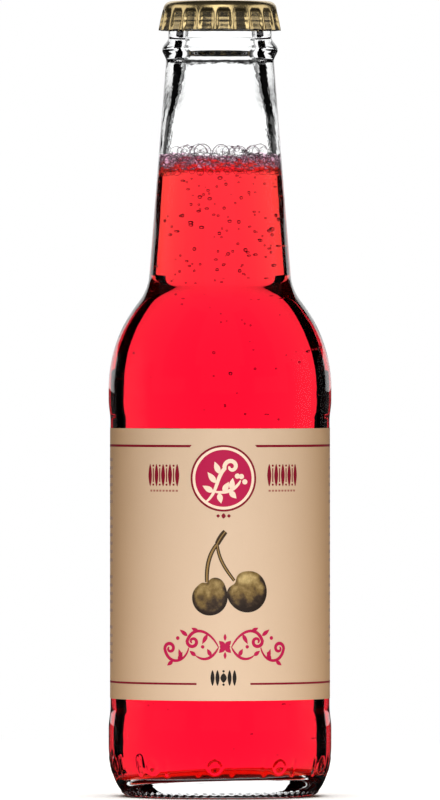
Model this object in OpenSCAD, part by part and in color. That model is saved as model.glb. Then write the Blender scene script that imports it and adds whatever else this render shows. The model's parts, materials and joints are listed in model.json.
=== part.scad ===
// Returnable glass soda bottle, filled, labelled and closed with a crown cork.
// Millimetres. +Z up, origin at the centre of the ring it stands on, -Y the label's front.

/* [Body] */
// Outside radius of the two contact bands
band_r = 25.97; // [24:0.01:28]
// Outside radius of the recessed label panel
panel_r = 25.55; // [23.6:0.01:25.9]
// Height where the lower contact band begins
low_band_z = 12; // [10:0.5:14]
// Height where the lower contact band ends
low_band_end = 16; // [15:0.5:18]
// Height of the slope from a band into the label panel
band_slope = 4.8; // [3:0.1:6]
// Height where the upper contact band begins
high_band_z = 92.3; // [90:0.1:94]
// Height where the shoulder begins to turn in
shoulder_z = 95; // [94.5:0.1:97]
// Wall thickness of the shoulder and neck
wall = 2.2; // [1.8:0.05:2.6]
// Inside radius along the label panel
inner_r = 23.5; // [23:0.05:23.7]

/* [Shoulder and neck] */
// Radius of the rounded shoulder
shoulder_arc_r = 33; // [28:0.5:36]
// Steepest lean of the shoulder, in degrees
shoulder_lean = 36.5; // [30:0.5:40]
// Straight stretch between the shoulder and the hollow
shoulder_run = 1.43; // [0.5:0.01:3]
// Radius of the hollow where shoulder meets neck
hollow_r = 11.1; // [8:0.1:14]
// Lean of the neck's side, in degrees
neck_lean = 4.5; // [3:0.1:6]
// Height where the straight neck ends
neck_top_z = 170.9; // [168:0.1:171]

/* [Finish] */
// Height of the glass at its sealing lip
glass_h = 184.6; // [184:0.1:186]
// Radius of the bore
bore_r = 8.3; // [7.8:0.05:8.5]
// Length of the bore's straight stretch
bore_len = 5; // [4:0.1:6]
// Radius of the locking ring that the crown grips
lock_r = 13.2; // [13:0.01:13.2]
// Radius of the neck under the locking ring
grip_r = 12.05; // [11.5:0.05:12.3]
// Radius of the transfer bead
bead_r = 13.5; // [13:0.05:14]
// Height of the transfer bead's middle
bead_z = 174.1; // [173.5:0.1:174.5]

/* [Base] */
// Outer radius of the ring it stands on
bearing_out = 20.5; // [20:0.1:21]
// Inner radius of the ring it stands on
bearing_in = 18.9; // [18:0.1:19.5]
// Height of the hollow under the base
punt_h = 2.4; // [1.5:0.1:3]
// Height of the inside floor at its edge
floor_z = 5; // [3.8:0.1:5.5]
// Rise of the inside floor to its middle
floor_rise = 1.4; // [1:0.1:2]
// Number of grip bars around the bearing ring
knurl_count = 70; // [40:1:90]

/* [Contents] */
// Height of the soda's surface
fill_z = 146.3; // [130:0.1:148]
// Height of the foam on it
foam_h = 6.1; // [2:0.1:7]

/* [Label] */
// Height of the label's lower edge
label_z = 22.9; // [22:0.1:26]
// Height of the label
label_h = 63; // [50:0.5:64]
// Thickness of the paper
label_t = 0.1; // [0.08:0.01:0.2]
// Gap between the label's two ends, at the back
label_gap = 5; // [2:0.5:12]

/* [Crown] */
// Height of the crown's top above the ground
crown_top_z = 185.4; // [185.3:0.1:187]
// Height of the crown
crown_h = 6.8; // [6:0.1:6.8]
// Outside radius over the flutes' ridges
crown_r = 14.35; // [14:0.05:14.6]
// Thickness of the tinplate
tin = 0.23; // [0.2:0.01:0.26]
// Number of flutes
flutes = 21; // [21:1:21]
// Turn of the crown on the bottle, in degrees
crown_turn = 8; // [0:0.5:17]
// Radial play between the flutes' valleys and the locking ring
crown_play = 0.1; // [0.08:0.01:0.15]
// Radius of the moulded liner
liner_r = 11.2; // [10.9:0.05:11.2]

/* [Hidden] */
$fn = 96;

high_slope_z = high_band_z - band_slope;
shoulder_x = band_r - shoulder_arc_r;
neck_cos = cos(neck_lean);
lean_r = shoulder_x + shoulder_arc_r * cos(shoulder_lean);
lean_z = shoulder_z + shoulder_arc_r * sin(shoulder_lean);
hollow_start_r = lean_r - shoulder_run * sin(shoulder_lean);
hollow_start_z = lean_z + shoulder_run * cos(shoulder_lean);
hollow_x = hollow_start_r + hollow_r * cos(shoulder_lean);
hollow_z = hollow_start_z + hollow_r * sin(shoulder_lean);
neck_z = hollow_z - hollow_r * sin(neck_lean);
neck_r = hollow_x - hollow_r * neck_cos;
bead_half = 2.7;
lip_in_r = 1;
lip_out_r = 2.2;
lip_land_r = 10.6;
taper_z = glass_h - lip_in_r - bore_len;
taper_start_z = 151;

// Points on a circle about [x, z] from angle a0 to a1
function arc(x, z, r, a0, a1, n) =
    [for (i = [0:n]) let(a = a0 + (a1 - a0) * i / n) [x + r * cos(a), z + r * sin(a)]];

// Points that ease from radius r0 at height z0 to radius r1 at height z1
function ease(r0, z0, r1, z1, n) =
    [for (i = [0:n]) [r0 + (r1 - r0) * (1 - cos(180 * i / n)) / 2, z0 + (z1 - z0) * i / n]];

// A quarter of an ellipse from [r0, z0], level, to [r1, z1], upright
function heel(r0, z0, r1, z1, n) =
    [for (i = [0:n]) [r0 + (r1 - r0) * sin(90 * i / n), z0 + (z1 - z0) * (1 - cos(90 * i / n))]];

// A shallow cap that rises from [0, top] to [edge, foot]
function cap(edge, foot, top, n) =
    [for (i = [0:n]) let(t = i / n) [edge * t, foot + (top - foot) * (1 - t * t)]];

// One point of a cubic curve through p[0] and p[3]
function curve_at(p, t) =
    pow(1 - t, 3) * p[0] + 3 * pow(1 - t, 2) * t * p[1] + 3 * (1 - t) * t * t * p[2] + pow(t, 3) * p[3];

function reversed(p) = [for (i = [len(p) - 1:-1:0]) p[i]];

// The straight neck's outside radius at height z
function neck_at(z) = neck_r - (z - neck_z) * tan(neck_lean);

// The inside of the neck at height z, as far up as the taper
function neck_inside(z) = neck_at(z) - wall / neck_cos;

base_outside = concat(
    cap(bearing_in, 0, punt_h, 8),
    heel(bearing_out, 0, band_r, low_band_z, 10)
);
body_outside = concat(
    ease(band_r, low_band_end, panel_r, low_band_end + band_slope, 6),
    ease(panel_r, high_slope_z, band_r, high_band_z, 6),
    arc(shoulder_x, shoulder_z, shoulder_arc_r, 0, shoulder_lean, 10),
    arc(hollow_x, hollow_z, -hollow_r, shoulder_lean, neck_lean, 8)
);

// Outline of the transfer bead, a smooth swelling of the neck
bead_outside = [
    for (i = [0:12])
        let(t = i / 6 - 1, base = neck_at(neck_top_z) + (grip_r - neck_at(neck_top_z)) * i / 12)
            [base + (bead_r - base) * (1 + cos(180 * t)) / 2, bead_z + bead_half * t]
];
finish_outside = concat(
    [[neck_at(neck_top_z), neck_top_z]],
    bead_outside,
    [[grip_r, taper_z]],
    ease(grip_r, taper_z + 0.2, lock_r, taper_z + 1.2, 4),
    [[lock_r, glass_h - 3]],
    arc(lip_land_r, glass_h - lip_out_r, lip_out_r, 0, 90, 6),
    arc(bore_r + lip_in_r, glass_h - lip_in_r, lip_in_r, 90, 180, 4)
);

// The bore's flare down to the neck's even wall
bore_taper = [
    for (i = [0:8])
        curve_at([
            [bore_r, taper_z],
            [bore_r, taper_z - 8],
            [neck_inside(taper_start_z + 6), taper_start_z + 6],
            [neck_inside(taper_start_z), taper_start_z]
        ], i / 8)
];

// The inside from the floor's middle up to the neck
body_inside = concat(
    cap(17.5, floor_z, floor_z + floor_rise, 8),
    heel(17.5, floor_z, inner_r, low_band_z + 1, 8),
    ease(inner_r, high_slope_z, band_r - wall, shoulder_z, 6),
    arc(shoulder_x, shoulder_z, shoulder_arc_r - wall, 0, shoulder_lean, 10),
    arc(hollow_x, hollow_z, -hollow_r - wall, shoulder_lean, neck_lean, 8)
);

// One slanted bar of the grip around the bearing ring
module grip_bar() {
    translate([bearing_out + 0.75, 0, 0.75]) {
        rotate([0, 42, 0]) rotate([0, 0, 28]) cube([1.9, 0.55, 0.6], center = true);
    }
}

module glass_bottle() {
    color("lightcyan", 0.45) {
        rotate_extrude() {
            polygon(concat(base_outside, body_outside, finish_outside, bore_taper, reversed(body_inside)));
        }
        intersection() {
            for (i = [0:knurl_count - 1]) rotate([0, 0, 360 * i / knurl_count]) grip_bar();
            cylinder(h = 4, r = 23);
        }
    }
}

module wrap_label() {
    gap_angle = label_gap / panel_r * 180 / PI;
    color("navajowhite") {
        rotate([0, 0, 90 + gap_angle / 2]) rotate_extrude(angle = 360 - gap_angle) {
            translate([panel_r, label_z]) square([label_t, label_h]);
        }
    }
}

module soda_fill() {
    color("crimson", 0.8) {
        rotate_extrude() {
            polygon(concat(body_inside, [[neck_inside(fill_z), fill_z], [0, fill_z]]));
        }
    }
}

module foam_head() {
    foam_top = fill_z + foam_h;
    edge_z = foam_top - 0.9;
    color("plum", 0.8) {
        rotate_extrude() {
            polygon([
                [0, fill_z],
                [neck_inside(fill_z), fill_z],
                [neck_inside(taper_start_z), min(taper_start_z, edge_z)],
                [neck_inside(taper_start_z) - 1.2, foam_top],
                [0, foam_top - 0.6]
            ]);
        }
    }
}

crown_corner_r = 1.95;
crown_flat_r = 11.3;
crown_slope = 20;
flute_steps = 10;
valley_r = lock_r + crown_play + tin;
skirt_z = crown_top_z - crown_h;

// Outer skin of the crown over a ridge: [radius, depth under the top]
ridge_line = concat(
    [for (i = [0:5]) let(a = (90 - crown_slope) * i / 5)
        [crown_flat_r + crown_corner_r * sin(a), crown_corner_r * (1 - cos(a))]],
    [[13.6, 2.6], [14.05, 3.8], [14.32, 4.9], [crown_r, 5.8], [crown_r - 0.05, crown_h]]
);

// How far the flutes have opened at a depth, from 0 to 1
function flute_open(d) = d < 1.2 ? 0 : (1 - cos(180 * min(1, (d - 1.2) / 3.6))) / 2;

// The radius at a depth over a valley, which stays clear of the locking ring
function valley_at(r, d) = r + (max(min(r, valley_r), min(r, 13.3)) - r) * flute_open(d);

// Height of the corrugation around the skirt, 1 on a ridge and 0 in a valley
function flute_wave(a) = pow((1 + cos(flutes * a)) / 2, 1.5);

// One ring of the crown's skin, moved in by t
function crown_ring(r, d, t, lean) = [
    for (i = [0:flutes * flute_steps - 1])
        let(a = 360 * i / (flutes * flute_steps), v = valley_at(r, d))
        let(here = v + (r - v) * flute_wave(a) - t * cos(lean))
            [here * cos(a), here * sin(a), crown_top_z - d - t * sin(lean)]
];

module crown_shell() {
    n = flutes * flute_steps;
    rings = len(ridge_line);
    // the skin leans from level at the top to upright at the skirt
    leans = [for (j = [0:rings - 1]) j < 6 ? 90 - (90 - crown_slope) * j / 5 : 0];
    outer = [for (j = [0:rings - 1]) each crown_ring(ridge_line[j][0], ridge_line[j][1], 0, 0)];
    inner = [
        for (j = [rings - 1:-1:0])
            let(cut = j == rings - 1 ? 0 : leans[j])
                each crown_ring(ridge_line[j][0], ridge_line[j][1], tin, cut)
    ];
    points = concat(outer, inner, [[0, 0, crown_top_z], [0, 0, crown_top_z - tin]]);
    top = 2 * rings * n;
    sides = [
        for (j = [0:2 * rings - 2], i = [0:n - 1])
            let(k = (i + 1) % n)
                each [
                    [j * n + i, (j + 1) * n + k, j * n + k],
                    [j * n + i, (j + 1) * n + i, (j + 1) * n + k]
                ]
    ];
    lids = [
        for (i = [0:n - 1])
            let(k = (i + 1) % n)
                each [[top, i, k], [top + 1, (2 * rings - 1) * n + k, (2 * rings - 1) * n + i]]
    ];
    color("darkgoldenrod") rotate([0, 0, crown_turn]) {
        polyhedron(points, [for (f = concat(sides, lids)) [f[0], f[2], f[1]]]);
    }
}

module crown_liner() {
    top = crown_top_z - tin;
    seat = glass_h + 0.05;
    color("whitesmoke") {
        rotate_extrude() {
            polygon([
                [0, top],
                [0, seat + 0.25],
                [7.1, seat + 0.25],
                [7.5, seat - 0.6],
                [7.9, seat - 0.6],
                [8.2, seat],
                [liner_r, seat],
                [liner_r, top]
            ]);
        }
    }
}

glass_bottle();
wrap_label();
soda_fill();
foam_head();
crown_shell();
crown_liner();
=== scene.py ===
import json
import math
import random

import bmesh
import bpy
from mathutils import Matrix, Vector

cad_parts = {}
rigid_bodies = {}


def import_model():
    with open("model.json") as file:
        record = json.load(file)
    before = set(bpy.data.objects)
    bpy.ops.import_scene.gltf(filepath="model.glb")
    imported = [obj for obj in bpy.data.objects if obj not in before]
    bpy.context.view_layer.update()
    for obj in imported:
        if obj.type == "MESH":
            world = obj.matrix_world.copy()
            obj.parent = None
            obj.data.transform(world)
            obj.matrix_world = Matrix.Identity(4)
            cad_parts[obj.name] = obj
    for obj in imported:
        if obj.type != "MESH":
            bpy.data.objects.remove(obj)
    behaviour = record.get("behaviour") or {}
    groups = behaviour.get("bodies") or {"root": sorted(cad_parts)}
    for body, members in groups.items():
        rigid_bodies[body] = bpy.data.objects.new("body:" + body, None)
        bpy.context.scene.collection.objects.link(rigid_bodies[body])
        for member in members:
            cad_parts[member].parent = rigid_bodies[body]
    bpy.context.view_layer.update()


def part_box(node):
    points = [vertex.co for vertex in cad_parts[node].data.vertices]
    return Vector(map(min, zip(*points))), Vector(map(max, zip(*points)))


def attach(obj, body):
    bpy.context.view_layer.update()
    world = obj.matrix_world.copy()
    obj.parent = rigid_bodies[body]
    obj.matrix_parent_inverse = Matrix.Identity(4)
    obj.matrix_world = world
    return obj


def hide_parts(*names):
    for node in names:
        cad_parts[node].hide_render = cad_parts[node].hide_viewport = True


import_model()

# Lengths are in millimetres up to the moment a piece is finished, and then metres.
MM = 0.001

# ---------------------------------------------------------------- sizes

BAND_R = 25.97
PANEL_R = 25.55
LOW_BAND = (12.0, 16.0)
HIGH_BAND = (92.3, 95.0)
BAND_SLOPE = 4.8
WALL = 2.2
INNER_R = 23.5

SHOULDER_ARC_R = 33.0
SHOULDER_LEAN = 36.5
SHOULDER_RUN = 1.43
HOLLOW_R = 11.1
NECK_LEAN = 4.5
NECK_TOP = 170.9

GLASS_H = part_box("glass_bottle")[1].z / MM
BORE_R = 8.3
BORE_LEN = 5.0
LOCK_R = 13.2
GRIP_R = 12.05
BEAD_R = 13.5
BEAD_Z = 174.1
BEAD_HALF = 2.7

BEARING = (18.9, 20.5)
PUNT_H = 2.4
FLOOR_Z = 5.0
FLOOR_RISE = 1.4
KNURLS = 70

FILL_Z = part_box("soda_fill")[1].z / MM
FOAM_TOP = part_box("foam_head")[1].z / MM
# The soda stands this high between the lowest bubbles of its foam
WET_Z = FILL_Z + 3.1

LABEL_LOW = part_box("wrap_label")[0].z / MM
LABEL_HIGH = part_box("wrap_label")[1].z / MM
LABEL_T = 0.1
LABEL_GAP = 5.0
PRINT_TURN = math.radians(1.83)

CROWN_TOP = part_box("crown_shell")[1].z / MM
TIN = 0.23
FLUTES = 21
FLUTE_TURN = 8.0


# ---------------------------------------------------------------- outlines

def arc(x, z, r, a0, a1, n):
    """Points on a circle about (x, z), from a0 to a1 degrees."""
    turns = [math.radians(a0 + (a1 - a0) * i / n) for i in range(n + 1)]
    return [(x + r * math.cos(a), z + r * math.sin(a)) for a in turns]


def ease(r0, z0, r1, z1, n):
    """Points that ease from radius r0 at height z0 to r1 at z1."""
    steps = [i / n for i in range(n + 1)]
    return [(r0 + (r1 - r0) * (1 - math.cos(math.pi * t)) / 2, z0 + (z1 - z0) * t) for t in steps]


def heel(r0, z0, r1, z1, n):
    """A quarter of an ellipse, level at (r0, z0) and upright at (r1, z1)."""
    turns = [math.pi / 2 * i / n for i in range(n + 1)]
    return [(r0 + (r1 - r0) * math.sin(a), z0 + (z1 - z0) * (1 - math.cos(a))) for a in turns]


def cap(edge, foot, top, n):
    """A shallow cap from (0, top) to (edge, foot)."""
    steps = [i / n for i in range(n + 1)]
    return [(edge * t, foot + (top - foot) * (1 - t * t)) for t in steps]


def curve(a, b, c, d, n):
    """A cubic curve from a to d, with handles b and c."""
    points = []
    for i in range(n + 1):
        t = i / n
        parts = ((1 - t) ** 3, 3 * (1 - t) ** 2 * t, 3 * (1 - t) * t * t, t ** 3)
        points.append(tuple(sum(w * p[k] for w, p in zip(parts, (a, b, c, d))) for k in (0, 1)))
    return points


def straight(a, b, n):
    """n points between a and b, without the ends."""
    steps = [i / (n + 1) for i in range(1, n + 1)]
    return [(a[0] + (b[0] - a[0]) * t, a[1] + (b[1] - a[1]) * t) for t in steps]


def smooth_step(low, high, value):
    t = min(1.0, max(0.0, (value - low) / (high - low)))
    return t * t * (3 - 2 * t)


SHOULDER_X = BAND_R - SHOULDER_ARC_R
_lean = math.radians(SHOULDER_LEAN)
_neck = math.radians(NECK_LEAN)
HOLLOW_X = SHOULDER_X + (SHOULDER_ARC_R + HOLLOW_R) * math.cos(_lean) - SHOULDER_RUN * math.sin(_lean)
HOLLOW_Z = HIGH_BAND[1] + (SHOULDER_ARC_R + HOLLOW_R) * math.sin(_lean) + SHOULDER_RUN * math.cos(_lean)
NECK_Z = HOLLOW_Z - HOLLOW_R * math.sin(_neck)
NECK_R = HOLLOW_X - HOLLOW_R * math.cos(_neck)
TAPER_Z = GLASS_H - 1.0 - BORE_LEN
TAPER_START = 151.0


def neck_at(z):
    """The straight neck's outside radius at height z."""
    return NECK_R - (z - NECK_Z) * math.tan(_neck)


def neck_inside(z):
    return neck_at(z) - WALL / math.cos(_neck)


def bead_outline(n):
    """The transfer bead, a smooth swelling of the neck."""
    points = []
    for i in range(n + 1):
        t = 2 * i / n - 1
        base = neck_at(NECK_TOP) + (GRIP_R - neck_at(NECK_TOP)) * i / n
        points.append((base + (BEAD_R - base) * (1 + math.cos(math.pi * t)) / 2, BEAD_Z + BEAD_HALF * t))
    return points


def outside_outline():
    """The bottle's outside, from the middle of its base to its lip."""
    slope_z = HIGH_BAND[0] - BAND_SLOPE
    foot = (BEARING[1], 0)
    return (
        cap(BEARING[0], 0, PUNT_H, 7)
        + heel(*foot, BAND_R, LOW_BAND[0], 36)
        + ease(BAND_R, LOW_BAND[1], PANEL_R, LOW_BAND[1] + BAND_SLOPE, 7)
        + ease(PANEL_R, slope_z, BAND_R, HIGH_BAND[0], 7)
        + arc(SHOULDER_X, HIGH_BAND[1], SHOULDER_ARC_R, 0, SHOULDER_LEAN, 15)
        + arc(HOLLOW_X, HOLLOW_Z, -HOLLOW_R, SHOULDER_LEAN, NECK_LEAN, 12)
        + straight((NECK_R, NECK_Z), (neck_at(NECK_TOP), NECK_TOP), 3)
        + [(neck_at(NECK_TOP), NECK_TOP)]
        + bead_outline(16)
        + [(GRIP_R, TAPER_Z)]
        + ease(GRIP_R, TAPER_Z + 0.2, LOCK_R, TAPER_Z + 1.2, 5)
        + arc(LOCK_R - 0.5, GLASS_H - 3.5, 0.5, 0, 40, 2)
        + arc(10.6, GLASS_H - 2.2, 2.2, 8, 90, 8)
        + arc(BORE_R + 1, GLASS_H - 1, 1.0, 90, 180, 5)
    )


def inside_outline():
    """The bottle's inside, from the middle of its floor to the neck's taper."""
    slope_z = HIGH_BAND[0] - BAND_SLOPE
    return (
        cap(17.5, FLOOR_Z, FLOOR_Z + FLOOR_RISE, 7)
        + heel(17.5, FLOOR_Z, INNER_R, LOW_BAND[0] + 1, 14)
        + straight((INNER_R, LOW_BAND[0] + 1), (INNER_R, slope_z), 9)
        + ease(INNER_R, slope_z, BAND_R - WALL, HIGH_BAND[1], 5)
        + arc(SHOULDER_X, HIGH_BAND[1], SHOULDER_ARC_R - WALL, 0, SHOULDER_LEAN, 13)[1:]
        + arc(HOLLOW_X, HOLLOW_Z, -HOLLOW_R - WALL, SHOULDER_LEAN, NECK_LEAN, 12)
    )


def bore_outline():
    """The bore, from its mouth down to the neck's even wall."""
    flare = curve(
        (BORE_R, TAPER_Z),
        (BORE_R, TAPER_Z - 8),
        (neck_inside(TAPER_START + 6), TAPER_START + 6),
        (neck_inside(TAPER_START), TAPER_START),
        12,
    )
    low = (neck_inside(NECK_Z), NECK_Z)
    wet = (neck_inside(WET_Z - 0.8), WET_Z - 0.8)
    return flare + straight(flare[-1], wet, 11) + [wet] + straight(wet, low, 8)


def wet_line(turn):
    """Height of the wetted wall's upper edge, which rides on the bubbles against the glass."""
    return WET_Z + 0.35 * math.cos(2 * turn) + 0.3 * math.sin(7 * turn + 1) + 0.2 * math.sin(12 * turn)


def floor_tilt(x, z):
    """The inside floor's slight slope from side to side."""
    return 0.45 * x / 20 * (1 - smooth_step(6, 12, z))


def wall_wave(turn, z):
    """How far the blown inner wall strays at a turn and height: glass is never even inside."""
    fade = smooth_step(8, 24, z) * (1 - smooth_step(158, 172, z))
    sway = 0.10 * math.sin(2 * turn + 0.7 + z / 23) + 0.06 * math.sin(3 * turn + 1.9 - z / 31)
    ripple = 0.035 * math.sin(5 * turn + z / 8.5) + 0.02 * math.sin(9 * turn - z / 5.3)
    swell = 0.26 * smooth_step(150, 155, z) * math.cos((z - 160) / 11 * math.pi)
    return fade * (sway + ripple + swell)


# ---------------------------------------------------------------- making pieces

def sweep(bm, parts, turn, steps, middle=(0, 0, 0), axis=(0, 0, 1), merge=False):
    """Spins points and edges through a turn in radians, which leaves faces behind them."""
    bmesh.ops.spin(
        bm, geom=parts, cent=middle, axis=axis, dvec=(0, 0, 0), angle=turn, steps=steps,
        use_merge=merge, use_normal_flip=False, use_duplicate=False,
    )


def spun(bm, outline, steps):
    """Spins an outline of (radius, height) right round: one sector is spun, and the others are its copies."""
    sectors = 12
    sector = 2 * math.pi / sectors
    verts = [bm.verts.new((r, 0, z)) for r, z in outline]
    edges = [bm.edges.new(pair) for pair in zip(verts, verts[1:])]
    sweep(bm, verts + edges, sector, steps // sectors)
    first = bm.verts[:] + bm.edges[:] + bm.faces[:]
    for index in range(1, sectors):
        copied = bmesh.ops.duplicate(bm, geom=first)["geom"]
        fresh = [part for part in copied if isinstance(part, bmesh.types.BMVert)]
        turned = Matrix.Rotation(index * sector, 3, "Z")
        bmesh.ops.rotate(bm, cent=(0, 0, 0), matrix=turned, verts=fresh)
    bmesh.ops.remove_doubles(bm, verts=bm.verts, dist=1e-3)
    bmesh.ops.recalc_face_normals(bm, faces=bm.faces)


def add_object(name, bm, materials):
    """Puts a finished bmesh into the scene."""
    mesh = bpy.data.meshes.new(name)
    bm.to_mesh(mesh)
    bm.free()
    for material in materials:
        mesh.materials.append(material)
    thing = bpy.data.objects.new(name, mesh)
    bpy.context.scene.collection.objects.link(thing)
    return thing


def finish_piece(bm, name, body, materials, sharp=40, stands_for=()):
    """Turns a bmesh in millimetres into a finished piece of the object."""
    bmesh.ops.scale(bm, vec=(MM, MM, MM), verts=bm.verts)
    for face in bm.faces:
        face.smooth = True
    for edge in bm.edges:
        turned = len(edge.link_faces) == 2 and edge.calc_face_angle(0) > math.radians(sharp)
        edge.smooth = not turned
    piece = add_object(name, bm, materials)
    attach(piece, body)
    if stands_for:
        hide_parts(*stands_for)


# ---------------------------------------------------------------- materials

def new_material(name):
    material = bpy.data.materials.new(name)
    material.use_nodes = True
    return material, material.node_tree


def set_shader(tree, **values):
    """Sets the Principled shader's own sockets, named with _ for a space."""
    shader = tree.nodes["Principled BSDF"]
    for key, value in values.items():
        shader.inputs[key.replace("_", " ")].default_value = value
    return shader


def plug(tree, socket, value):
    """Gives a socket its value: another node's output is linked, and anything else is set."""
    if isinstance(value, bpy.types.NodeSocket):
        tree.links.new(value, socket)
    else:
        socket.default_value = value


def reckon(tree, operation, *values):
    """The output of a Math node on numbers or other outputs."""
    node = tree.nodes.new("ShaderNodeMath")
    node.operation = operation
    for socket, value in zip(node.inputs, values):
        plug(tree, socket, value)
    return node.outputs[0]


def eased(tree, value, low, high, at_low=0.0, at_high=1.0, kind="SMOOTHSTEP"):
    """Goes from at_low to at_high while the value goes from low to high."""
    node = tree.nodes.new("ShaderNodeMapRange")
    node.interpolation_type = kind
    for label, given in (
        ("Value", value), ("From Min", low), ("From Max", high), ("To Min", at_low), ("To Max", at_high),
    ):
        plug(tree, node.inputs[label], given)
    return node.outputs["Result"]


def blended(tree, share, low, high, kind="FLOAT", mode="MIX"):
    """Low where the share is 0 and high where it is 1. The kind is FLOAT or RGBA."""
    node = tree.nodes.new("ShaderNodeMix")
    node.data_type = kind
    node.blend_type = mode
    for label, value in (("Factor", share), ("A", low), ("B", high)):
        plug(tree, node.inputs[label], value)
    return node.outputs["Result"]


def place_in(tree, space):
    return tree.nodes.new("ShaderNodeTexCoord").outputs[space]


def along(tree, place, axis):
    """A place's X, Y or Z."""
    split = tree.nodes.new("ShaderNodeSeparateXYZ")
    tree.links.new(place, split.inputs[0])
    return split.outputs[axis]


def length_of(tree, place):
    node = tree.nodes.new("ShaderNodeVectorMath")
    node.operation = "LENGTH"
    tree.links.new(place, node.inputs[0])
    return node.outputs["Value"]


def noise(tree, size, detail, roughness=0.5):
    """Noise from 0 to 1 in the object's own space."""
    node = tree.nodes.new("ShaderNodeTexNoise")
    for label, value in (("Scale", size), ("Detail", detail), ("Roughness", roughness)):
        plug(tree, node.inputs[label], value)
    tree.links.new(place_in(tree, "Object"), node.inputs["Vector"])
    return node.outputs["Fac"]


def bumped(tree, height, strength, distance):
    """The normal of a surface that a height from 0 to 1 raises by a distance in metres."""
    node = tree.nodes.new("ShaderNodeBump")
    for label, value in (("Height", height), ("Strength", strength), ("Distance", distance)):
        plug(tree, node.inputs[label], value)
    return node.outputs["Normal"]


def grain_group():
    """Mottled colour and a fine bump, for paper, print and lacquer alike."""
    tree = bpy.data.node_groups.new("mottled_grain", "ShaderNodeTree")
    for label, kind in (
        ("Tone", "NodeSocketColor"), ("Shade", "NodeSocketColor"),
        ("Blotch Size", "NodeSocketFloat"), ("Grain Size", "NodeSocketFloat"),
        ("Amount", "NodeSocketFloat"), ("Height", "NodeSocketFloat"),
    ):
        tree.interface.new_socket(label, in_out="INPUT", socket_type=kind)
    tree.interface.new_socket("Color", in_out="OUTPUT", socket_type="NodeSocketColor")
    tree.interface.new_socket("Normal", in_out="OUTPUT", socket_type="NodeSocketVector")
    given = tree.nodes.new("NodeGroupInput").outputs
    out = tree.nodes.new("NodeGroupOutput").inputs
    blotch = noise(tree, given["Blotch Size"], 3)
    grain = noise(tree, given["Grain Size"], 4)
    both = reckon(tree, "MULTIPLY_ADD", blotch, 0.5, reckon(tree, "MULTIPLY", grain, 0.5))
    share = reckon(tree, "MULTIPLY", both, given["Amount"])
    tree.links.new(blended(tree, share, given["Tone"], given["Shade"], "RGBA"), out["Color"])
    tree.links.new(bumped(tree, grain, given["Height"], 0.0001), out["Normal"])
    return tree


GRAIN = grain_group()


def grained(name, tone, shade, blotch, grain, amount, height, **values):
    """A material whose colour and bump come from the mottled grain."""
    material, tree = new_material(name)
    shader = set_shader(tree, **values)
    group = tree.nodes.new("ShaderNodeGroup")
    group.node_tree = GRAIN
    given = ((*tone, 1), (*shade, 1), blotch, grain, amount, height)
    for socket, value in zip(group.inputs, given):
        socket.default_value = value
    tree.links.new(group.outputs["Color"], shader.inputs["Base Color"])
    tree.links.new(group.outputs["Normal"], shader.inputs["Normal"])
    return material


GLASS_IOR = 1.5
SODA_IOR = 1.333


def clear_glass(name, ior, ripples, strength):
    """Flint glass, with the ripple that blown glass has."""
    material, tree = new_material(name)
    shader = set_shader(
        tree, Base_Color=(0.985, 0.99, 0.99, 1), Roughness=0.0, IOR=ior, Transmission_Weight=1.0
    )
    ripple = bumped(tree, noise(tree, ripples, 1), strength, 0.0004)
    tree.links.new(ripple, shader.inputs["Normal"])
    return material


def red_liquid(name, tone, through, density):
    """Clear liquid that takes out green and blue, more the deeper it is. Its sides don't bend light."""
    material, tree = new_material(name)
    set_shader(tree, Base_Color=(*tone, 1), Roughness=0.0, IOR=1.0, Transmission_Weight=1.0)
    absorb = tree.nodes.new("ShaderNodeVolumeAbsorption")
    absorb.inputs["Color"].default_value = (*through, 1)
    absorb.inputs["Density"].default_value = density
    tree.links.new(absorb.outputs["Volume"], tree.nodes["Material Output"].inputs["Volume"])
    return material


def bubble_film(name, ior, rim_low, rim_high):
    """The skin of a bubble: clear where it is faced, dark wine where it is seen edge on."""
    material, tree = new_material(name)
    shader = set_shader(tree, Roughness=0.0, IOR=ior, Transmission_Weight=1.0)
    weight = tree.nodes.new("ShaderNodeLayerWeight")
    weight.inputs["Blend"].default_value = 0.5
    rim = eased(tree, weight.outputs["Facing"], rim_low, rim_high)
    film = blended(tree, rim, (1, 1, 1, 1), (0.07, 0.006, 0.03, 1), "RGBA")
    for label in ("Base Color", "Specular Tint"):
        tree.links.new(film, shader.inputs[label])
    return material


# Where soda wets the glass, light bends once between them: the wall bends it, and the soda's side doesn't.
GLASS = clear_glass("clear_glass", GLASS_IOR, 260, 0.05)
WET_GLASS = clear_glass("wetted_glass", GLASS_IOR / SODA_IOR, 260, 0.05)
ROUGH_GLASS = clear_glass("blown_inner_wall", GLASS_IOR, 900, 0.1)
SODA = red_liquid("red_soda", (1, 0.21, 0.062), (0.9775, 0.0, 0.79), 80)
WET_FOAM = red_liquid("wet_foam", (1, 0.9, 0.95), (0.68, 0.12, 0.42), 58)
BUBBLE = bubble_film("gas_bubble", 1 / SODA_IOR, 0.25, 0.5)
PACKED = bubble_film("packed_gas", 0.93, 0.42, 0.66)
FOAM = bubble_film("foam_film", 1.03, 0.54, 0.76)


# ---------------------------------------------------------------- bottle

def heel_mark(across, up):
    """Height of the raised heel marks, across and up in millimetres from the band's start and middle."""
    pitch = 4.0
    place = across % pitch - pitch / 2
    which = int(across // pitch) % 4
    if which == 3:
        return 0.0
    if which == 1:
        reach = math.hypot(place, up)
        return 1 - smooth_step(0.7, 1.1, abs(reach - 1.1) + 0.35)
    reach = max(abs(place), abs(up) - 1.5)
    return 1 - smooth_step(0.25, 0.6, reach)


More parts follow.
